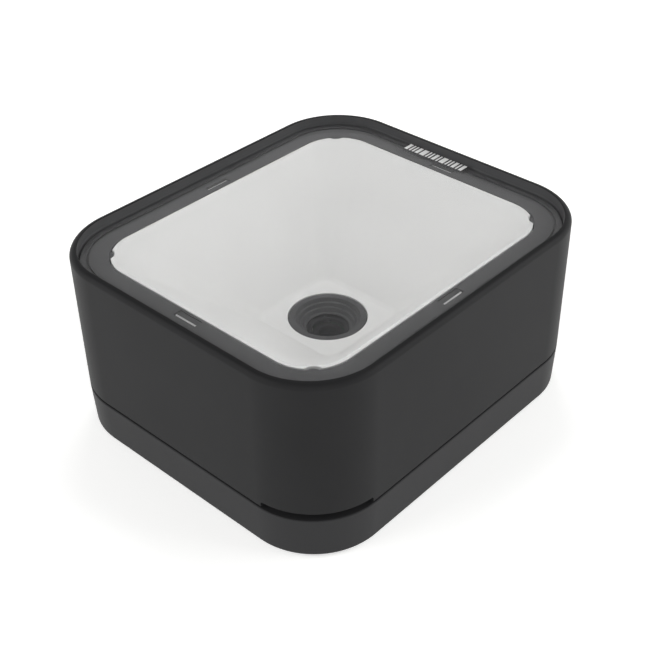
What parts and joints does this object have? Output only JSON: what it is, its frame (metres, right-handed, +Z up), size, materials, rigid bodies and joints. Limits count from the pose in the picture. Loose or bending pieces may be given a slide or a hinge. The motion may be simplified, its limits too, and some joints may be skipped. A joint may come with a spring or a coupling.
{
  "type": "flatbed barcode scanner",
  "caption": "Counter-top barcode scanner: rounded charcoal box with a recessed top window, white light funnel and upward-looking camera.",
  "frame": {"origin": "on the counter, under the middle of the box", "axes": "+Z up through the window, +Y from the front to the rear wall with the cable socket, +X to the right seen from the front"},
  "size_m": [0.11, 0.1266, 0.0612],
  "materials": {
    "housing_plastic": "fine-textured moulded ABS, charcoal",
    "base_plastic": "fine-textured moulded ABS, a shade lighter",
    "bezel_plastic": "satin moulded ABS, dark grey",
    "white_plastic": "matte diffusing white polycarbonate",
    "window_glass": "clear polished glass",
    "lens_glass": "coated optical glass",
    "black_rubber": "soft moulded rubber",
    "label_film": "blank satin polyester label",
    "circuit_board": "green solder mask on glass-fibre board",
    "black_plastic": "matte moulded engineering plastic",
    "chip_package": "moulded epoxy",
    "plated_steel": "zinc-plated steel",
    "can_aluminium": "drawn aluminium can",
    "gold_plated_brass": "gold-plated spring contacts",
    "natural_nylon": "moulded natural nylon",
    "cable_film": "polyester film over tinned strips",
    "led_package": "moulded package with clear dome"
  },
  "bodies": {
    "base": {"base_cover": "base_plastic", "base_screw_front_left": "plated_steel", "base_screw_front_right": "plated_steel", "base_screw_rear_left": "plated_steel", "base_screw_rear_right": "plated_steel", "foot_front_left": "black_rubber", "foot_front_right": "black_rubber", "foot_rear_left": "black_rubber", "foot_rear_right": "black_rubber", "rating_label": "label_film"},
    "housing": {"beeper": "black_plastic", "bezel_frame": "bezel_plastic", "board_cable_connector": "natural_nylon", "board_screw_front_left": "plated_steel", "board_screw_front_right": "plated_steel", "board_screw_rear_left": "plated_steel", "board_screw_rear_right": "plated_steel", "camera_board": "circuit_board", "camera_cable_connector": "natural_nylon", "camera_cover_glass": "window_glass", "camera_flat_cable": "cable_film", "camera_screw_front_left": "plated_steel", "camera_screw_front_right": "plated_steel", "camera_screw_rear_left": "plated_steel", "camera_screw_rear_right": "plated_steel", "front_lens": "lens_glass", "image_sensor": "chip_package", "infrared_filter": "lens_glass", "interface_chip": "chip_package", "interface_jack": "black_plastic", "jack_contacts": "gold_plated_brass", "jack_shield": "plated_steel", "led_1": "led_package", "led_2": "led_package", "led_3": "led_package", "led_4": "led_package", "led_5": "led_package", "led_6": "led_package", "led_7": "led_package", "led_8": "led_package", "led_board": "circuit_board", "lens_barrel": "black_plastic", "lens_holder": "black_plastic", "lens_shroud": "black_plastic", "light_funnel": "white_plastic", "main_board": "circuit_board", "memory_chip": "chip_package", "power_inductor": "chip_package", "processor_chip": "chip_package", "rear_lens": "lens_glass", "scan_window": "window_glass", "smoothing_capacitor_1": "can_aluminium", "smoothing_capacitor_2": "can_aluminium", "upper_housing": "housing_plastic", "window_seal": "black_rubber"}
  },
  "joints": [
    {"name": "housing_lift_off", "type": "slide", "parent": "base", "child": "housing", "axis": [0, 0, 1], "range_m": [0, 0.03]}
  ]
}
